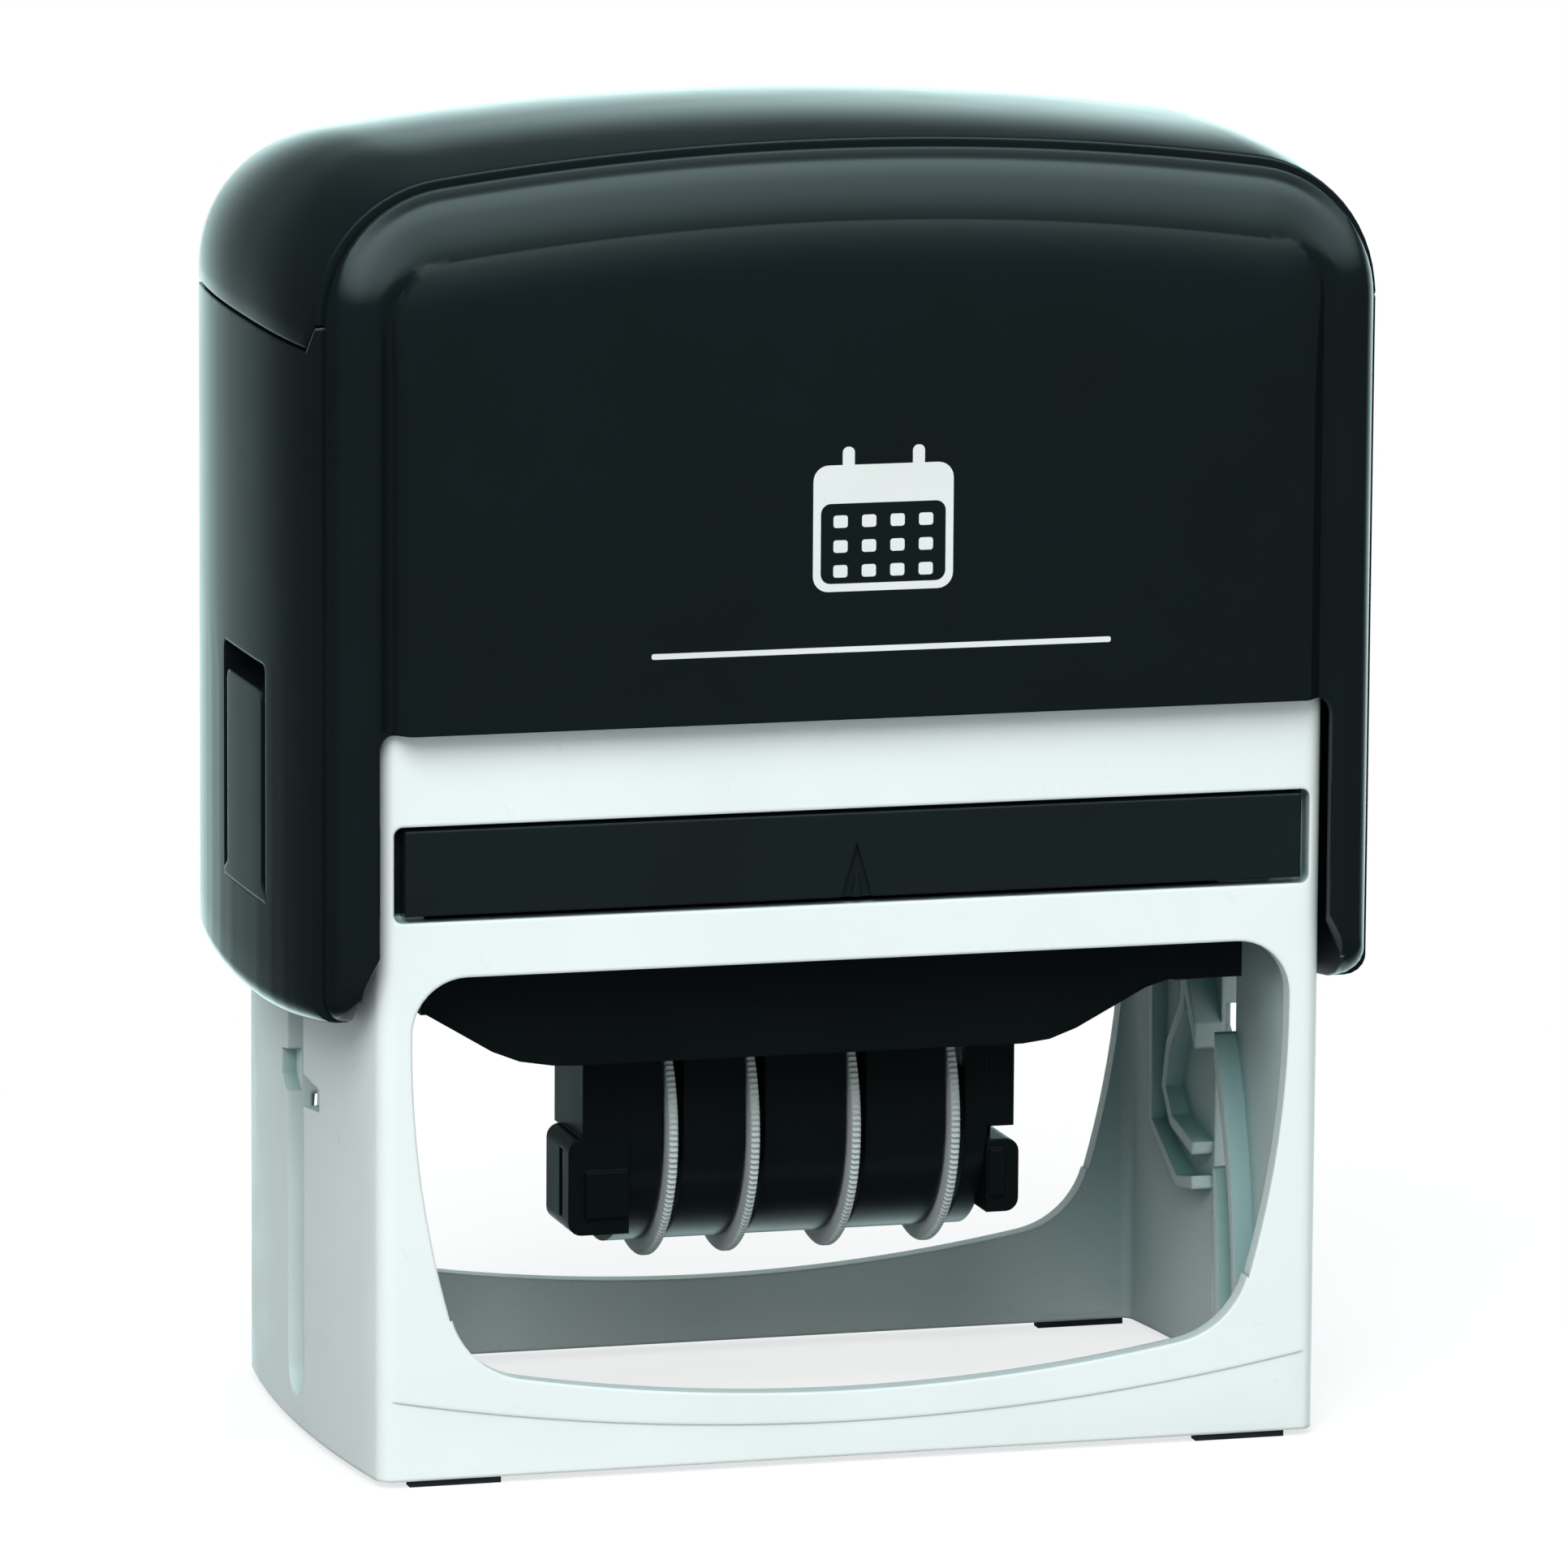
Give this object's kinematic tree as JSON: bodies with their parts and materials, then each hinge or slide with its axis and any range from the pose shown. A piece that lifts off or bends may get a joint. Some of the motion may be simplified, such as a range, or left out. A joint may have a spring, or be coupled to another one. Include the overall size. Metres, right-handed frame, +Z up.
{
  "type": "rotary date stamp",
  "caption": "Self-inking date stamp: a cap pressed over a windowed base frame flips a carrier with text plate, date bands and setting wheels from ink pad to paper.",
  "frame": {"origin": "centre of the footprint, in the plane of the undersides of the rubber feet", "axes": "+X to the right across the width, +Y to the back, +Z up; the ink tray pulls out along -Y"},
  "size_m": [0.0996, 0.0548, 0.1196],
  "materials": {
    "base_white": "moulded, satin gloss",
    "foot_rubber": "matt",
    "cap_black": "polished, high gloss",
    "pin_steel": "ground",
    "tray_black": "satin gloss",
    "pad_felt": "felt soaked with ink",
    "spring_steel": "drawn wire",
    "carrier_black": "moulded, fine satin",
    "die_rubber": "matt",
    "wheel_grey": "moulded, satin",
    "band_rubber": "matt"
  },
  "bodies": {
    "base": {"base_frame": "base_white", "rubber_feet": "foot_rubber", "return_spring": "spring_steel"},
    "cap": {"cap_housing": "cap_black", "top_cover": "cap_black", "pivot_pin_left": "pin_steel", "pivot_pin_right": "pin_steel"},
    "lock_tab_left": {"lock_tab_left": "cap_black"},
    "lock_tab_right": {"lock_tab_right": "cap_black"},
    "ink_tray": {"ink_tray": "tray_black", "ink_pad": "pad_felt"},
    "carrier": {"plate_carrier": "carrier_black", "text_plate": "die_rubber", "dater_housing": "carrier_black", "dater_side_left": "carrier_black", "dater_side_right": "carrier_black", "band_anvil": "carrier_black", "wheel_axle": "pin_steel", "day_tens_band": "band_rubber", "day_units_band": "band_rubber", "month_band": "band_rubber", "year_band": "band_rubber"},
    "day_tens_wheel": {"day_tens_wheel": "wheel_grey"},
    "day_units_wheel": {"day_units_wheel": "wheel_grey"},
    "month_wheel": {"month_wheel": "wheel_grey"},
    "year_wheel": {"year_wheel": "wheel_grey"}
  },
  "joints": [
    {"name": "cap_press", "type": "slide", "parent": "base", "child": "cap", "axis": [0, 0, -1], "range_m": [0, 0.037], "stiffness_N_per_m": 300, "springref_m": -0.02, "deforming": ["return_spring"]},
    {"name": "carrier_flip", "type": "hinge", "parent": "cap", "child": "carrier", "pos_m": [0, 0, 0.043], "axis": [1, 0, 0], "range_deg": [-0.5, 180.5]},
    {"name": "day_tens_turn", "type": "hinge", "parent": "carrier", "child": "day_tens_wheel", "pos_m": [0, 0, 0.0275], "axis": [1, 0, 0], "continuous": true},
    {"name": "day_units_turn", "type": "hinge", "parent": "carrier", "child": "day_units_wheel", "pos_m": [0, 0, 0.0275], "axis": [1, 0, 0], "continuous": true},
    {"name": "month_turn", "type": "hinge", "parent": "carrier", "child": "month_wheel", "pos_m": [0, 0, 0.0275], "axis": [1, 0, 0], "continuous": true},
    {"name": "year_turn", "type": "hinge", "parent": "carrier", "child": "year_wheel", "pos_m": [0, 0, 0.0275], "axis": [1, 0, 0], "continuous": true},
    {"name": "tray_slide", "type": "slide", "parent": "base", "child": "ink_tray", "axis": [0, -1, 0], "range_m": [0, 0.052]},
    {"name": "lock_left_flex", "type": "hinge", "parent": "cap", "child": "lock_tab_left", "pos_m": [-0.04829, 0, 0.05105], "axis": [0, 1, 0], "range_deg": [0, 5]},
    {"name": "lock_right_flex", "type": "hinge", "parent": "cap", "child": "lock_tab_right", "pos_m": [0.04829, 0, 0.05105], "axis": [0, -1, 0], "range_deg": [0, 5]}
  ],
  "couplings": [
    {"joint": "carrier_flip", "follows": "cap_press", "rad_per_m": 84.908}
  ]
}
